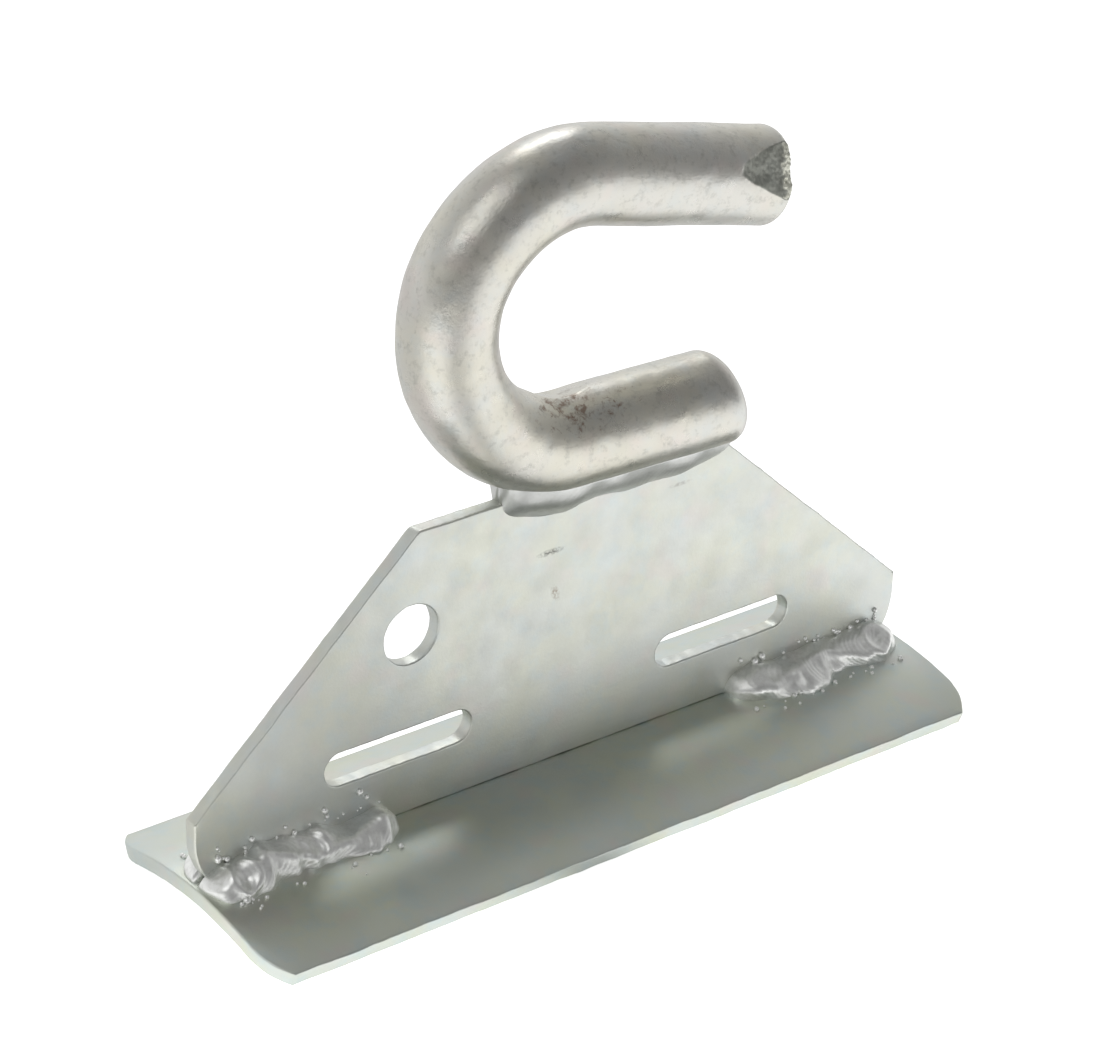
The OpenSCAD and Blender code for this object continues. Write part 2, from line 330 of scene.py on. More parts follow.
def build_saddle(p):
    """Saddle strip: its plan outline shrinks towards a line along the middle to give the faces, and
    the rim's rounded profile is carried round it. The flat result is then wrapped on the arc."""
    half_l, half_w = PLATE_LEN / 2, p.saddle_r * math.asin(SADDLE_W / 2 / p.saddle_r)
    corner = math.degrees(math.asin(p.corner_run / p.corner_r))
    quarter = np.vstack([[[half_l, 0]], arc((half_l - p.corner_r, half_w - p.corner_run), p.corner_r, 0, corner, 12)])
    upper = np.vstack([quarter, (quarter * [-1, 1])[::-1]])
    loop = even(np.vstack([upper, (upper * [1, -1])[::-1][1:-1]]), 0.9 * MM)
    normal = loop_normals(loop)
    spine = np.stack([np.clip(loop[:, 0], half_w - half_l, half_l - half_w), np.zeros(len(loop))], -1)
    profile = rim_profile(p.thickness, p.rim_round)
    share = np.linspace(0, 1, 15)[:-1]
    rounding = p.rim_round
    face = spine[None] + share[:, None, None] * (loop - normal * rounding - spine)[None]
    rim = loop[None] - normal[None] * profile[:, None, :1]
    lump_at = np.dstack([rim, np.broadcast_to(profile[:, None, 1:], rim.shape[:2] + (1,))])
    lump = 0.03 * MM * waves(lump_at, 2.6 * MM, 31) + 0.05 * MM * waves(lump_at, 12 * MM, 32)
    lump *= smooth(rounding, 0, profile[:, 0])[:, None]
    rim = rim + normal[None] * lump[..., None]
    flat = np.vstack([face, rim, face[::-1]])
    depth = np.r_[np.zeros(len(share)), profile[:, 1], np.full(len(share), p.thickness)] - p.thickness
    radius = p.saddle_r + depth[:, None] * np.ones(len(loop))
    angle = flat[..., 1] / p.saddle_r
    points = np.stack([flat[..., 0], radius * np.sin(angle),
                       CROWN_Z - p.saddle_r + radius * np.cos(angle)], -1)
    wear = np.r_[np.zeros(len(share)), smooth(0.9, 0.2, profile[:, 0] / rounding), np.zeros(len(share))]
    return make_mesh("saddle_skin", points, grid_quads(len(flat), len(loop), True),
                     wear[:, None] * np.ones(len(loop)))


def bar_line(p, s):
    """Centre line of the bar at distances s from its lower end, in the bend's own plane: a straight,
    an arc of a little more than half a turn and a straight. Gives place, heading and outward side."""
    bend_len = p.bend_r * (math.pi + p.arm_dip)
    angle = np.clip((s - p.lower_arm) / p.bend_r, 0, math.pi + p.arm_dip)
    before = np.clip(p.lower_arm - s, 0, None)
    after = np.clip(s - p.lower_arm - bend_len, 0, None)
    heading = np.stack([-np.cos(angle), 0 * angle, np.sin(angle)], -1)
    outward = np.stack([-np.sin(angle), 0 * angle, -np.cos(angle)], -1)
    place = np.stack([-p.bend_back + before, 0 * angle, p.bend_r + 0 * angle], -1) + p.bend_r * outward
    return place + after[..., None] * heading, heading, outward


def build_bar(p):
    """Bent bar: a round section carried along the centre line. The lower end is an oblique plane with
    a rounded rim, the bend is slightly oval with a flat pressed inside it, and the upper end has a
    rounded rim and a shallow oblique facet with a broken edge. Wear is 1 on the facet and 2 on the
    broken edge."""
    r = p.diameter / 2
    bend_len = p.bend_r * (math.pi + p.arm_dip)
    total = p.lower_arm + bend_len + p.upper_arm
    v = np.linspace(0, 2 * np.pi, 201)[:-1]
    # the lower end: radius and distance from the oblique plane, then an even run along the bar
    rim = np.linspace(0, np.pi / 2, 16)[1:]
    flat_r = r - p.lower_round
    cap_rho = np.r_[np.linspace(0, flat_r, 12), flat_r + p.lower_round * np.sin(rim)]
    cap_s = np.r_[np.full(12, 0.0), p.lower_round * (1 - np.cos(rim))] - 0.35 * MM * (1 - (cap_rho / r) ** 2)
    slope = p.lower_slant / p.diameter
    plane = slope * (r - cap_rho[:, None] * np.cos(v))
    cap = cap_s[:, None] + plane
    even_s = np.linspace(p.lower_round + p.lower_slant + 1 * MM, total - p.shear_len * 1.2, 340)
    join = np.linspace(0, 1, 9)[1:-1, None]
    joined = cap[-1] * (1 - join) + even_s[0] * join
    tip_s = np.linspace(even_s[-1], total - p.tip_round, 90)[1:]
    round_a = np.linspace(0, np.pi / 2, 14)[1:]
    end_rho = np.linspace(r - p.tip_round, 0, 24)[1:]
    last_s = np.r_[even_s, tip_s, total - p.tip_round + p.tip_round * np.sin(round_a), np.full(len(end_rho), total)]
    s = np.vstack([cap, joined, last_s[:, None] * np.ones(len(v))])
    radius = np.r_[cap_rho, np.full(len(join) + len(even_s) + len(tip_s), r),
                   r - p.tip_round + p.tip_round * np.cos(round_a), end_rho]
    rho = radius[:, None] * np.ones(len(v))
    place, heading, outward = bar_line(p, s)
    # the bar widens a little and flattens a little where it is bent
    bent = smooth(0, 0.35, (s - p.lower_arm) / bend_len) * smooth(1.0, 0.7, (s - p.lower_arm) / bend_len)
    rho = rho * (1 - 0.022 * bent * np.cos(2 * v))
    # press mark on the inside, where the lower arm runs into the bend
    press = smooth(-7 * MM, 0, s - p.lower_arm) * smooth(15 * MM, 5 * MM, s - p.lower_arm)
    facing = np.cos(v - np.pi - 0.25) * np.ones_like(rho)
    flat = (r - p.press_depth * press) / np.where(facing > 0.3, facing, 0.3)
    soft = 0.15 * MM
    pressed = -soft * np.logaddexp(-rho / soft, -flat / soft) + soft * np.log(2) * smooth(2 * soft, 0, flat - rho)
    rho = np.where((facing > 0.3) & (radius[:, None] > 0.98 * r), np.minimum(pressed, rho), rho)
    # oblique shear at the upper end
    tilt = p.shear_depth / p.shear_len
    room = r - (s - (total - p.shear_len)) * tilt
    toward = np.cos(v - p.shear_turn) * np.ones_like(rho)
    cut = np.where(toward > 0.2, room / np.where(toward > 0.2, toward, 1), 1)
    cut = cut + 0.10 * MM * np.sin(v * 9) * smooth(0, 0.2, toward)
    near_tip = smooth(total - p.shear_len * 1.15, total - p.shear_len * 0.9, s)
    sheared = smooth(-0.12 * MM, 0.12 * MM, rho - cut) * near_tip
    rho = np.where(sheared > 0.5, cut, rho)
    front = np.array([0, -1.0, 0])
    ring = np.cos(v)[None, :, None] * outward + np.sin(v)[None, :, None] * front
    points = place + rho[..., None] * ring
    lumps = 0.05 * MM * waves(points, 18 * MM, 3) + 0.018 * MM * waves(points, 5 * MM, 4)
    grain = 0.05 * MM * waves(points, 0.9 * MM, 8) + 0.07 * MM * waves(points, 2.2 * MM, 9)
    broken = sheared * smooth(total - 2.6 * MM, total - 1.2 * MM, s + 0.5 * MM * waves(points, 1.6 * MM, 10))
    ragged = 0.14 * MM * waves(points, 1.0 * MM, 12)
    lift = lumps * np.minimum(rho / (2 * MM), 1) + sheared * grain + broken * ragged
    points = points + lift[..., None] * ring
    return make_mesh("bar_skin", seat_bar(p, points), grid_quads(len(s), len(v), True), sheared + broken)


def seat_bar(p, points):
    """Leans and skews the bent bar and sets its lower arm along the web's top edge."""
    cl, sl, ck, sk = math.cos(p.lean), math.sin(p.lean), math.cos(p.skew), math.sin(p.skew)
    lean = np.array([[1, 0, 0], [0, cl, sl], [0, -sl, cl]])
    skew = np.array([[ck, sk, 0], [-sk, ck, 0], [0, 0, 1]])
    return points @ (skew @ lean).T + [0, -p.forward, WEB_TOP + p.diameter / 2]


def build_saddle_weld(name, p, plates, side_x, side_y, seed):
    """Weld in the corner between web and saddle. Across the bead the section is a quarter of a
    superellipse whose legs rise and fall along it, and curved ripples and a crater lie on top."""
    rows, cols = 260, 56
    u = np.linspace(0, 1, rows)[:, None]
    v = np.linspace(0, 1, cols)[None, :]
    line = np.stack([u * p.saddle_len, 0 * u, 0 * u], -1)[:, 0]
    end = np.clip(1 - np.abs(2 * u - 1) ** 6, 0, 1) ** 0.5
    sway = 1 + 0.16 * waves(line, 17 * MM, seed)[:, None] + 0.06 * waves(line, 5 * MM, seed + 1)[:, None]
    reach = 1 + 0.13 * waves(line, 15 * MM, seed + 2)[:, None] + 0.05 * waves(line, 4 * MM, seed + 3)[:, None]
    up = p.web_leg * sway * end
    out = p.saddle_leg * reach * end
    power = 1.15
    y = out * np.sin(v * np.pi / 2) ** power
    z = up * np.cos(v * np.pi / 2) ** power
    phase = (u * p.saddle_len - 5 * MM * (2 * v - 1) ** 2) / p.pitch
    place = np.dstack([u * p.saddle_len + 0 * v, y, z])
    phase = phase + 0.35 * waves(place, 6 * MM, seed + 4)
    body = np.sin(v * np.pi) ** 0.6 * end
    ripple = p.ripple * np.sin(2 * np.pi * phase) * body
    centre = 0.5 + 0.2 * np.sin(2 * np.pi * u * p.saddle_len / (26 * MM) + seed)
    ridge = p.ridge * np.exp(-((v - centre) * 9 * MM / (1.3 * MM)) ** 2) * body
    lump = ridge + 0.32 * MM * waves(place, 9 * MM, seed + 5) * body
    crater_u, crater_v = 0.84, 0.45
    away = np.hypot((u - crater_u) * p.saddle_len, (v - crater_v) * 9 * MM)
    crater = -0.9 * MM * np.exp(-(away / (1.4 * MM)) ** 2) + 0.5 * MM * np.exp(-((away - 2.8 * MM) / (0.8 * MM)) ** 2)
    lift = (ripple + lump + crater * body)
    nz, ny = np.cos(v * np.pi / 2), np.sin(v * np.pi / 2)
    y = y + lift * ny - 0.3 * MM * (1 - body)
    z = z + lift * nz - 0.3 * MM * (1 - body)
    x = PLATE_LEN / 2 - p.saddle_inset - p.saddle_len + u * p.saddle_len + 0 * v
    across = WEB_T / 2 + np.maximum(y, -0.5 * MM)
    height = saddle_height(np.clip(across, 0, SADDLE_W / 2), plates) + z
    points = np.stack([side_x * x, side_y * across, height], -1)
    root = np.stack([side_x * x[:, :1], 0 * x[:, :1],
                     0 * x[:, :1] + CROWN_Z - 0.6 * MM], -1)
    points = np.concatenate([root, points], 1)
    return make_mesh(name, close_ends(points, 0.3 * MM), grid_quads(rows + 2, cols + 1, True))


def close_ends(points, dome):
    """Adds a last section at each end of a bead, shrunk to the end section's mean point and moved
    outwards by the dome's height, so that the bead is closed."""
    tips = []
    for end, inner in ((0, 1), (-1, -2)):
        middle = points[end].mean(axis=0)
        heading = middle - points[inner].mean(axis=0)
        heading /= np.linalg.norm(heading)
        tips.append(np.broadcast_to(middle + dome * heading, points[:1].shape))
    return np.concatenate([tips[0], points, tips[1]])


def build_hook_weld(name, p, bar, side_y, seed):
    """Weld in the corner between the bar's underside and the web: a shallow hollow fillet from its
    lower toe on the web to its upper toe on the bar, with faint ripples."""
    rows, cols = 240, 40
    start = -bar.bend_back - p.hook_back
    run = p.hook_back + bar.bend_back + 35.5 * MM
    u = np.linspace(0, 1, rows)[:, None]
    v = np.linspace(0, 1, cols)[None, :]
    x = start + run * u + 0 * v
    line = np.stack([u * run, 0 * u, 0 * u], -1)[:, 0]
    end = np.clip(1 - np.abs(2 * u - 1) ** 8, 0, 1) ** 0.5
    leg = p.hook_leg * end * (1 + 0.09 * waves(line, 16 * MM, seed)[:, None] + 0.02 * waves(line, 5 * MM, seed + 1)[:, None])
    r = bar.diameter / 2
    bar_y = -bar.forward - x * math.tan(bar.skew)
    rise = np.clip(-bar.bend_back - x, 0, None)
    bar_z = WEB_TOP + r + bar.bend_r - np.sqrt(bar.bend_r ** 2 - rise ** 2)
    gap = side_y * WEB_T / 2 - bar_y
    toe = math.radians(34) * end * (1 + 0.05 * waves(line, 8 * MM, seed + 2)[:, None])
    bar_toe_y = bar_y + side_y * r * np.sin(toe + np.clip(side_y * gap, -2 * MM, None) / r)
    bar_toe_z = bar_z - np.sqrt(np.clip(r ** 2 - (bar_toe_y - bar_y) ** 2, 0, None))
    web_toe_y = side_y * WEB_T / 2 + 0 * x
    web_toe_z = WEB_TOP - leg + 0 * x
    bow = 0.9 * MM * np.sin(np.pi * v) * end
    place = np.dstack([x, bar_toe_y * v, (bar_toe_z - WEB_TOP) * v])
    phase = (u * run - 2.5 * MM * (2 * v - 1) ** 2) / p.pitch + 0.6 * waves(place, 7 * MM, seed + 3)
    body = np.sin(np.pi * v) ** 0.6 * end
    bow = bow + (0.5 * p.ripple * np.sin(2 * np.pi * phase) + 0.12 * MM * waves(place, 10 * MM, seed + 4)) * body
    y = web_toe_y * (1 - v) + bar_toe_y * v + side_y * bow * 0.75
    z = web_toe_z * (1 - v) + bar_toe_z * v - bow * 0.66
    points = np.stack([x, y, z], -1)
    inner = np.stack([x[:, :1], 0 * x[:, :1], WEB_TOP + 0 * x[:, :1]], -1)
    lift = np.stack([x[:, :1], bar_y[:, :1] + 0 * x[:, :1], bar_z[:, :1] - 0.8 * r], -1)
    points = np.concatenate([inner, points, lift], 1)
    return make_mesh(name, close_ends(points, 0.8 * MM), grid_quads(rows + 2, cols + 2, True))


def build_spatter(name, centres, radii):
    """Balls of spatter in one mesh: the same small round ball, scaled and moved to each centre."""
    lat = np.linspace(0, np.pi, 6)
    lon = np.linspace(0, 2 * np.pi, 10)[:-1]
    ball = np.stack([np.sin(lat)[:, None] * np.cos(lon), np.sin(lat)[:, None] * np.sin(lon),
                     np.cos(lat)[:, None] * np.ones(len(lon))], -1).reshape(-1, 3)
    quads = grid_quads(len(lat), len(lon), True)
    points = centres[:, None] + radii[:, None, None] * ball
    faces = quads[None] + (np.arange(len(centres)) * len(ball))[:, None, None]
    return make_mesh(name, points, faces.reshape(-1, 4))


def spatter_places(p, plates, seed, side_x, side_y):
    """Random places along both toes of a saddle weld: most within 2 mm of a toe, a few further off."""
    rng = np.random.default_rng(seed)
    count = p.spatter
    u = rng.uniform(0.02, 1.0, count)
    x = PLATE_LEN / 2 - p.saddle_inset - p.saddle_len * (1 - u)
    radius = rng.gamma(2.2, 0.13, count) * MM + 0.14 * MM
    radius = np.minimum(radius, 0.85 * MM)
    stray = np.minimum(rng.gamma(1.3, 0.9, count), 4) * MM
    x = np.minimum(x, PLATE_LEN / 2 - plates.corner_run * 0.5)
    on_web = rng.random(count) < 0.55
    web = np.stack([x, np.full(count, WEB_T / 2) + 0.35 * radius, CROWN_Z + p.web_leg * 0.95 + stray], -1)
    across = WEB_T / 2 + p.saddle_leg * 0.98 + stray
    flat = np.stack([x, across, saddle_height(across, plates) + 0.35 * radius], -1)
    centres = np.where(on_web[:, None], web, flat)
    return centres * [side_x, side_y, 1], radius


# ---------------------------------------------------------------- materials

class Nodes:
    """Short hand for building a material's node tree."""

    def __init__(self, name):
        self.material = bpy.data.materials.new(name)
        self.material.use_nodes = True
        self.tree = self.material.node_tree
        self.tree.nodes.clear()
        self.output = self.tree.nodes.new("ShaderNodeOutputMaterial")
        self.where = self.tree.nodes.new("ShaderNodeTexCoord").outputs["Object"]

    def put(self, socket, value):
        """Links a socket to another, or sets it."""
        if isinstance(value, bpy.types.NodeSocket):
            self.tree.links.new(value, socket)
        elif isinstance(value, (tuple, list)) and socket.type == "RGBA" and len(value) == 3:
            socket.default_value = (*value, 1)
        else:
            socket.default_value = value

    def noise(self, size, detail=4.0, rough=0.55, where=None, distortion=0.0):
        """Noise with features of about the given size in metres, from 0 to 1."""
        node = self.tree.nodes.new("ShaderNodeTexNoise")
        self.put(node.inputs["Vector"], where or self.where)
        self.put(node.inputs["Scale"], 1 / size)
        self.put(node.inputs["Detail"], detail)
        self.put(node.inputs["Roughness"], rough)
        self.put(node.inputs["Distortion"], distortion)
        return node.outputs["Fac"]

    def stretch(self, scale, turn_by=(0, 0, 0), shift=(0, 0, 0)):
        """Object coordinates moved, turned and stretched."""
        node = self.tree.nodes.new("ShaderNodeMapping")
        node.vector_type = "TEXTURE"
        self.put(node.inputs["Vector"], self.where)
        node.inputs["Location"].default_value = shift
        node.inputs["Rotation"].default_value = turn_by
        node.inputs["Scale"].default_value = scale
        return node.outputs["Vector"]

    def ramp(self, value, low, high, start=0.0, end=1.0):
        """Linear ramp of a number from low and high to start and end, held at both."""
        node = self.tree.nodes.new("ShaderNodeMapRange")
        self.put(node.inputs["Value"], value)
        for name, number in (("From Min", low), ("From Max", high), ("To Min", start), ("To Max", end)):
            self.put(node.inputs[name], number)
        return node.outputs["Result"]

    def spot(self, centre, size, turn_by=(0, 0, 0)):
        """1 in the middle of a stretched ball at a centre and 0 outside it."""
        far = self.tree.nodes.new("ShaderNodeVectorMath")
        far.operation = "LENGTH"
        self.put(far.inputs[0], self.stretch(size, turn_by, centre))
        return self.ramp(far.outputs["Value"], 0.3, 1.0, 1.0, 0.0)

    def math(self, kind, a, b=0.0):
        """One step of arithmetic."""
        node = self.tree.nodes.new("ShaderNodeMath")
        node.operation = kind
        self.put(node.inputs[0], a)
        self.put(node.inputs[1], b)
        return node.outputs[0]

    def mix(self, share, a, b, kind="MIX"):
        """Mixes two colours."""
        node = self.tree.nodes.new("ShaderNodeMix")
        node.data_type = "RGBA"
        node.blend_type = kind
        self.put(node.inputs["Factor"], share)
        self.put(node.inputs["A"], a)
        self.put(node.inputs["B"], b)
        return node.outputs["Result"]

    def bump(self, height, distance, strength=1.0, under=None):
        """Bump from a height between 0 and 1 that stands for the given distance."""
        node = self.tree.nodes.new("ShaderNodeBump")
        self.put(node.inputs["Height"], height)
        self.put(node.inputs["Distance"], distance)
        self.put(node.inputs["Strength"], strength)
        if under is not None:
            self.put(node.inputs["Normal"], under)
        return node.outputs["Normal"]

    def metal(self, base, rough, normal, metallic=1.0):
        """Principled metal with everything else at its default."""
        node = self.tree.nodes.new("ShaderNodeBsdfPrincipled")
        self.put(node.inputs["Base Color"], base)
        self.put(node.inputs["Roughness"], rough)
        self.put(node.inputs["Normal"], normal)
        self.put(node.inputs["Metallic"], metallic)
        self.put(self.output.inputs["Surface"], node.outputs["BSDF"])
        return self.material


def passivated(n, base, tint=0.35):
    """Zinc colour with the faint yellow, blue and pink bloom of a passivation film in soft blotches."""
    bloom = n.noise(14 * MM, 3, 0.5)
    fine = n.noise(4.5 * MM, 4, 0.6, n.stretch((1, 1, 1), shift=(0.3, 0.1, 0.2)))
    yellow = tuple(c * k for c, k in zip(base, (1.08, 1.04, 0.84)))
    blue = tuple(c * k for c, k in zip(base, (0.88, 0.98, 1.08)))
    pink = tuple(c * k for c, k in zip(base, (1.08, 0.95, 0.95)))
    a = n.mix(n.ramp(bloom, 0.40, 0.62, 0, tint), base, yellow)
    b = n.mix(n.ramp(fine, 0.48, 0.66, 0, tint), a, blue)
    return n.mix(n.ramp(n.noise(8 * MM, 2, 0.5, n.stretch((1, 1, 1), shift=(0.7, 0.4, 0.9))), 0.55, 0.68, 0, tint), b, pink)


def web_zinc(c):
    """Pale plating with a fine matt grain and drawing lines along the strip."""
    n = Nodes("web_zinc")
    grain = n.noise(0.55 * MM, 3, 0.6)
    drawn = n.noise(1.0 * MM, 3, 0.6, n.stretch((12, 1, 1)))
    base = passivated(n, tuple(c.web_zinc))
    base = n.mix(n.ramp(grain, 0.3, 0.7, 0.0, 0.10), base, (0.45, 0.46, 0.44))
    frayed = n.ramp(n.noise(0.8 * MM, 3, 0.7), 0.40, 0.60)
    scrape = n.spot((-4.1 * MM, WEB_FRONT, CROWN_Z + 43.4 * MM), (3.6 * MM, 1 * MM, 0.8 * MM))
    smear = n.spot((-2.9 * MM, WEB_FRONT, CROWN_Z + 34.7 * MM), (1.0 * MM, 1 * MM, 2.2 * MM), (0, math.radians(-22), 0))
    shoulder = n.spot((25.3 * MM, WEB_FRONT, CROWN_Z + 48.5 * MM), (3.2 * MM, 1 * MM, 0.5 * MM))
    base = n.mix(n.math("MULTIPLY", n.math("MULTIPLY", scrape, frayed), 0.9), base, (0.16, 0.16, 0.15))
    base = n.mix(n.math("MULTIPLY", n.math("MULTIPLY", smear, frayed), 0.8), base, (0.26, 0.20, 0.15))
    base = n.mix(n.math("MULTIPLY", n.math("MULTIPLY", shoulder, frayed), 0.5), base, (0.30, 0.28, 0.26))
    rough = n.ramp(n.noise(6 * MM, 4, 0.6), 0.3, 0.7, 0.36, 0.48)
    height = n.math("ADD", n.math("MULTIPLY", grain, 0.7), n.math("MULTIPLY", drawn, 0.3))
    return n.metal(base, rough, n.bump(height, 0.035 * MM))


def saddle_zinc(c):
    """Duller grey-green plating with a fine grain and rolling marks."""
    n = Nodes("saddle_zinc")
    grain = n.noise(0.6 * MM, 3, 0.6)
    drawn = n.noise(1.4 * MM, 3, 0.6, n.stretch((10, 1, 1)))
    base = passivated(n, tuple(c.saddle_zinc), 0.45)
    rough = n.ramp(n.noise(7 * MM, 4, 0.6), 0.3, 0.7, 0.34, 0.46)
    height = n.math("ADD", n.math("MULTIPLY", grain, 0.7), n.math("MULTIPLY", drawn, 0.3))
    return n.metal(base, rough, n.bump(height, 0.035 * MM))


def bar_zinc(c):
    """Grainy satin plating, with rust inside the bend and a rough dull face where it was sheared."""
    n = Nodes("bar_zinc")
    grain = n.noise(0.7 * MM, 4, 0.7)
    spots = n.noise(1.6 * MM, 4, 0.7)
    base = passivated(n, tuple(c.bar_zinc), 0.3)
    base = n.mix(n.ramp(spots, 0.52, 0.70, 0.0, 0.45), base, (0.33, 0.33, 0.30))
    wear = n.tree.nodes.new("ShaderNodeAttribute")
    wear.attribute_name = "wear"
    worn = wear.outputs["Fac"]
    base = n.mix(n.ramp(worn, 0.2, 0.8, 0.0, 0.85), base, (0.27, 0.28, 0.25))
    base = n.mix(n.ramp(worn, 1.2, 1.8, 0.0, 0.8), base, (0.75, 0.75, 0.66))
    stain = n.tree.nodes.new("ShaderNodeVectorMath")
    stain.operation = "LENGTH"
    inside = (-2 * MM, -5 * MM, WEB_TOP + 17 * MM)
    n.put(stain.inputs[0], n.stretch((13 * MM, 7 * MM, 5 * MM), shift=inside))
    near = n.ramp(stain.outputs["Value"], 0.3, 1.3, 1.0, 0.0)
    flecks = n.noise(1.9 * MM, 6, 0.75, distortion=0.4)
    rusty = n.ramp(n.math("ADD", flecks, n.math("MULTIPLY", near, 0.20)), 0.66, 0.78, 0.0, 0.75)
    rusty = n.math("MULTIPLY", rusty, n.ramp(near, 0.0, 0.25))
    base = n.mix(rusty, base, tuple(c.rust))
    rough = n.ramp(n.noise(5 * MM, 5, 0.65), 0.3, 0.7, 0.25, 0.38)
    rough = n.math("ADD", rough, n.math("MULTIPLY", n.math("MAXIMUM", rusty, n.ramp(worn, 0.2, 0.8)), 0.25))
    return n.metal(base, rough, n.bump(grain, 0.05 * MM))


def weld_zinc(c, name, painted_shade):
    """Plated weld metal: bright and smooth, with fine crust in places. A factor below 1 gives a copy darkened by
    painted shade.
    """
    n = Nodes(name)
    crust = n.noise(0.9 * MM, 4, 0.7)
    # The weld colour times the factor: below 1 this is painted shade, not a duller metal.
    base = n.mix(n.ramp(crust, 0.45, 0.7, 0.0, 0.3), tuple(k * painted_shade for k in c.weld_zinc), (0.5, 0.5, 0.46))
    rough = n.ramp(n.noise(3 * MM, 4, 0.6), 0.3, 0.7, 0.30, 0.42)
    return n.metal(base, rough, n.bump(crust, 0.03 * MM))


# ---------------------------------------------------------------- operators

class JHOOK_OT_plates(bpy.types.Operator):
    """Build the saddle strip and the web plate with plated, softly rounded rims"""
    bl_idname = "jhook.plates"
    bl_label = "Plates"

    def execute(self, context):
        sizes, finish = context.scene.jhook_plates, context.scene.jhook_finishes
        finish_piece(build_saddle(sizes), saddle_zinc(finish), ["saddle_plate"])
        finish_piece(build_web(sizes), web_zinc(finish), ["web_plate"])
        return {"FINISHED"}


class JHOOK_OT_bar(bpy.types.Operator):
    """Build the bent bar with its domed end, press mark and sheared tip"""
    bl_idname = "jhook.bar"
    bl_label = "Bar"

    def execute(self, context):
        finish_piece(build_bar(context.scene.jhook_bar), bar_zinc(context.scene.jhook_finishes), ["hook_bar"])
        return {"FINISHED"}


class JHOOK_OT_welds(bpy.types.Operator):
    """Build the six weld beads and the spatter beside them"""
    bl_idname = "jhook.welds"
    bl_label = "Welds"

    def execute(self, context):
        scene = context.scene
        sizes, plates, finish = scene.jhook_welds, scene.jhook_plates, scene.jhook_finishes
        # The second material is the weld colour darkened to 0.72: painted shade for the hook welds under the bar.
        bright, painted_shade = weld_zinc(finish, "weld_bright", 1.0), weld_zinc(finish, "weld_dull", 0.72)
        places = (("front_left", -1, -1, 41), ("front_right", 1, -1, 57), ("back_left", -1, 1, 73), ("back_right", 1, 1, 91))
        for where, side_x, side_y, seed in places:
            node = "saddle_weld_" + where
            bead = build_saddle_weld(node + "_skin", sizes, plates, side_x, side_y, seed)
            finish_piece(bead, bright, [node])
            balls = build_spatter("spatter_" + where, *spatter_places(sizes, plates, seed, side_x, side_y))
            finish_piece(balls, bright, [])
        for where, side_y, seed in (("front", -1, 111), ("back", 1, 131)):
            node = "hook_weld_" + where
            fillet = build_hook_weld(node + "_skin", sizes, scene.jhook_bar, side_y, seed)
            # The hook welds under the bar take the darkened copy, which is painted shade.
            finish_piece(fillet, painted_shade, [node])
        return {"FINISHED"}


def area_light(name, place, aim, size, power, tint=(1, 1, 1)):
    """Soft rectangular lamp at a place, facing an aim point."""
    lamp = bpy.data.lights.new(name, "AREA")
    lamp.shape, lamp.size, lamp.size_y = "RECTANGLE", size[0], size[1]
    lamp.energy, lamp.color = power, tint
    holder = bpy.data.objects.new(name, lamp)
    holder.location = place
    holder.rotation_euler = (Vector(aim) - Vector(place)).to_track_quat("-Z", "Y").to_euler()
    bpy.context.scene.collection.objects.link(holder)
    return holder


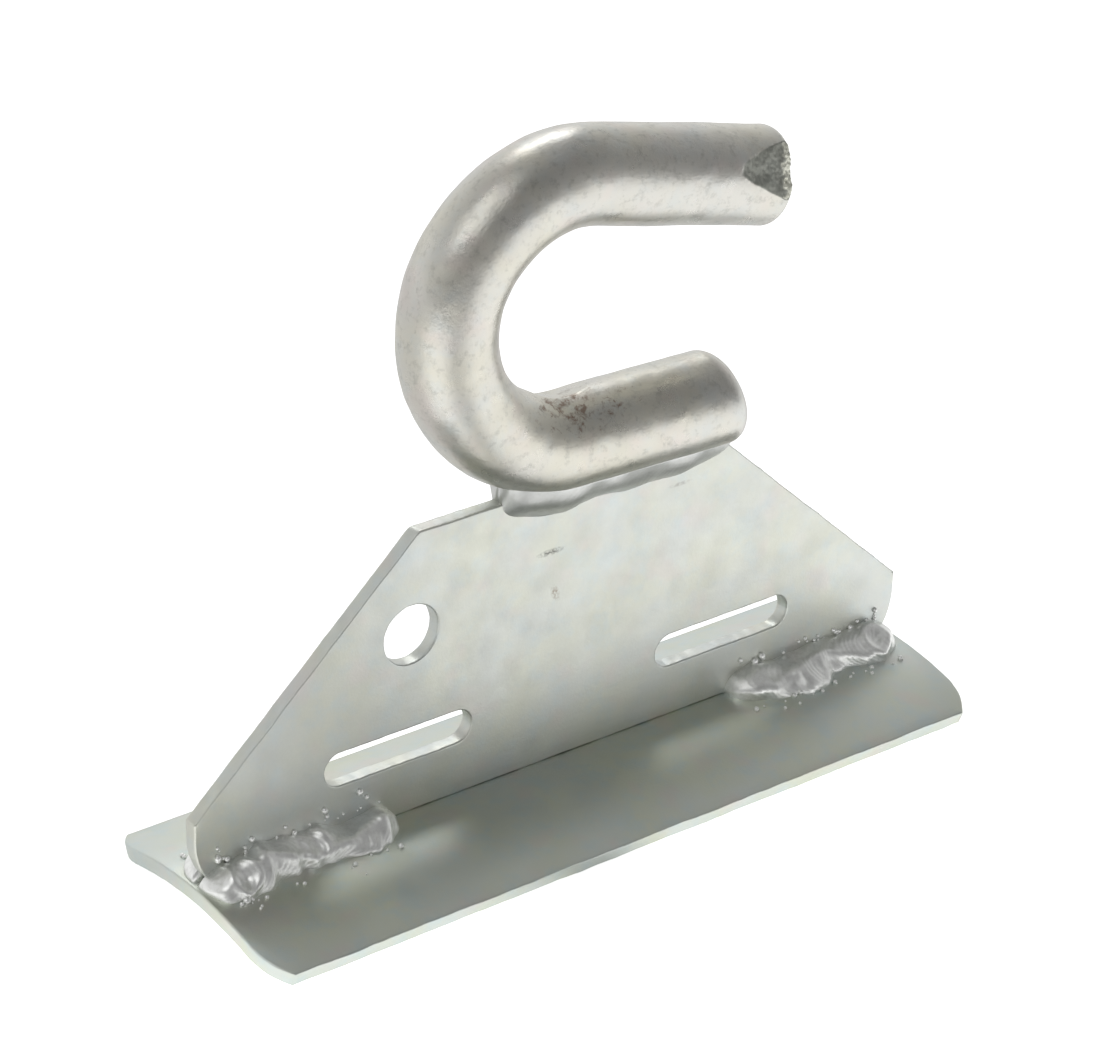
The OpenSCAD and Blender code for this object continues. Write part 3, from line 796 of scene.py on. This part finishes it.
class JHOOK_OT_stage(bpy.types.Operator):
    """Set up the pale floor, the soft studio light and the camera"""
    bl_idname = "jhook.stage"
    bl_label = "Stage"

    azimuth: turn("Azimuth", "Camera direction round the object", -37.96)
    elevation: turn("Elevation", "Camera height above the horizon", 28.17)
    roll: turn("Roll", "Camera roll", 1.63)
    distance: length("Distance", "Camera distance from its aim point", 0.7217, 0.1, 5)
    focal: FloatProperty(name="Focal length", description="Focal length on a 36 mm wide sensor",
                         default=131.38, min=10, max=500, subtype="DISTANCE_CAMERA", unit="CAMERA")

    def execute(self, context):
        low, high = (np.array(corner) for corner in CAD_BOX)
        self.floor(low, high)
        self.camera(context, low)
        self.lights(context, Vector((low + high) / 2))
        context.scene.view_settings.view_transform = "Standard"
        return {"FINISHED"}

    def floor(self, low, high):
        """Wide pale floor just under the object's lowest edges."""
        half = 3.0
        corners = np.array([[-half, -half], [half, -half], [half, half], [-half, half]])
        points = np.c_[corners, np.full(4, low[2] - 0.02 * MM)]
        piece = make_mesh("floor", points, np.array([[0, 1, 2, 3]]))
        n = Nodes("floor_paint")
        paint = n.tree.nodes.new("ShaderNodeBsdfDiffuse")
        paint.inputs["Color"].default_value = (0.86, 0.86, 0.86, 1)
        glow = n.tree.nodes.new("ShaderNodeEmission")
        rays = n.tree.nodes.new("ShaderNodeLightPath")
        seen = n.math("MAXIMUM", rays.outputs["Is Glossy Ray"], rays.outputs["Is Transmission Ray"])
        plain = n.math("MULTIPLY", rays.outputs["Is Camera Ray"], 0.80)
        n.put(glow.inputs["Strength"], n.math("MAXIMUM", plain, n.math("MULTIPLY", seen, self.floor_level(n))))
        both = n.tree.nodes.new("ShaderNodeAddShader")
        n.put(both.inputs[0], paint.outputs[0])
        n.put(both.inputs[1], glow.outputs[0])
        n.put(n.output.inputs["Surface"], both.outputs[0])
        piece.data.materials.append(n.material)

    def floor_level(self, n):
        """Brightness of the floor in reflections: lit from the left and the right, with the shade of
        the camera stand between them and darkness behind."""
        spot = n.tree.nodes.new("ShaderNodeVectorMath")
        spot.operation = "NORMALIZE"
        n.put(spot.inputs[0], n.where)
        level = n.tree.nodes.new("ShaderNodeValue").outputs[0]
        level.default_value = 0.30
        for bearing, near, far, gain in ((-66, 0.80, 0.995, 0.6), (45, 0.45, 0.85, 0.58)):
            facing = n.tree.nodes.new("ShaderNodeVectorMath")
            facing.operation = "DOT_PRODUCT"
            n.put(facing.inputs[0], spot.outputs[0])
            a = math.radians(bearing)
            facing.inputs[1].default_value = (math.sin(a), -math.cos(a), 0)
            level = n.math("ADD", level, n.ramp(facing.outputs["Value"], near, far, 0.0, gain))
        return level

    def camera(self, context, low):
        """Camera at the given direction, rolled and aimed at a point just behind the middle of the web."""
        aim = Vector((-0.0024, 0, low[2] + 0.0542))
        back = Vector((math.sin(self.azimuth) * math.cos(self.elevation),
                       -math.cos(self.azimuth) * math.cos(self.elevation), math.sin(self.elevation)))
        lens = bpy.data.cameras.new("camera")
        lens.sensor_width, lens.lens = 36, self.focal
        lens.clip_start = 0.01
        holder = bpy.data.objects.new("camera", lens)
        spin = Matrix.Rotation(self.roll, 4, "Z")
        look = back.to_track_quat("Z", "Y").to_matrix().to_4x4()
        holder.matrix_world = Matrix.Translation(aim + back * self.distance) @ look @ spin
        context.scene.collection.objects.link(holder)
        context.scene.camera = holder

    def lights(self, context, middle):
        """Two soft lamps, and a room that is pale near the horizon behind and dark overhead."""
        world = bpy.data.worlds.new("room")
        context.scene.world = world
        world.use_nodes = True
        tree = world.node_tree
        where = tree.nodes.new("ShaderNodeTexCoord").outputs["Generated"]
        split = tree.nodes.new("ShaderNodeSeparateXYZ")
        tree.links.new(where, split.inputs[0])
        rise = tree.nodes.new("ShaderNodeMapRange")
        for name, number in (("From Min", 0.15), ("From Max", 0.8), ("To Min", 0.98), ("To Max", 0.55)):
            rise.inputs[name].default_value = number
        tree.links.new(split.outputs["Z"], rise.inputs["Value"])
        depth = tree.nodes.new("ShaderNodeMapRange")
        for name, number in (("From Min", -0.5), ("From Max", 0.6), ("To Min", 0.42), ("To Max", 1.0)):
            depth.inputs[name].default_value = number
        tree.links.new(split.outputs["Y"], depth.inputs["Value"])
        both = tree.nodes.new("ShaderNodeMath")
        both.operation = "MULTIPLY"
        tree.links.new(rise.outputs["Result"], both.inputs[0])
        tree.links.new(depth.outputs["Result"], both.inputs[1])
        tree.links.new(both.outputs[0], tree.nodes["Background"].inputs["Strength"])
        tree.nodes["Background"].inputs["Color"].default_value = (1.0, 1.0, 1.0, 1)
        area_light("lamp_left", middle + Vector((-0.75, -0.15, 1.1)), middle, (0.9, 0.9), 2.4)
        area_light("lamp_back", middle + Vector((0.5, 0.9, 1.0)), middle, (0.5, 0.5), 2.2)


class JHOOK_PT_panel(bpy.types.Panel):
    """Lists the sizes and the building steps"""
    bl_idname = "JHOOK_PT_panel"
    bl_label = "J hook"
    bl_space_type = "VIEW_3D"
    bl_region_type = "UI"
    bl_category = "J hook"

    def draw(self, context):
        for group in (context.scene.jhook_plates, context.scene.jhook_bar, context.scene.jhook_welds,
                      context.scene.jhook_finishes):
            box = self.layout.box()
            for name in group.__annotations__:
                box.prop(group, name)
        for step in STEPS:
            self.layout.operator(step.bl_idname)


GROUPS = {"jhook_plates": PlateSizes, "jhook_bar": BarSizes, "jhook_welds": WeldSizes, "jhook_finishes": Finishes}
STEPS = (JHOOK_OT_plates, JHOOK_OT_bar, JHOOK_OT_welds, JHOOK_OT_stage)


def register():
    """Registers every class and hangs the property groups on the scene."""
    for kind in (*GROUPS.values(), *STEPS, JHOOK_PT_panel):
        bpy.utils.register_class(kind)
    for name, kind in GROUPS.items():
        setattr(bpy.types.Scene, name, PointerProperty(type=kind))


def unregister():
    """Takes the property groups and the classes away again."""
    for name in GROUPS:
        delattr(bpy.types.Scene, name)
    for kind in reversed((*GROUPS.values(), *STEPS, JHOOK_PT_panel)):
        bpy.utils.unregister_class(kind)


def main():
    """Builds every piece."""
    register()
    bpy.ops.jhook.plates()
    bpy.ops.jhook.bar()
    bpy.ops.jhook.welds()
    bpy.ops.jhook.stage()


if __name__ == "__main__":
    main()
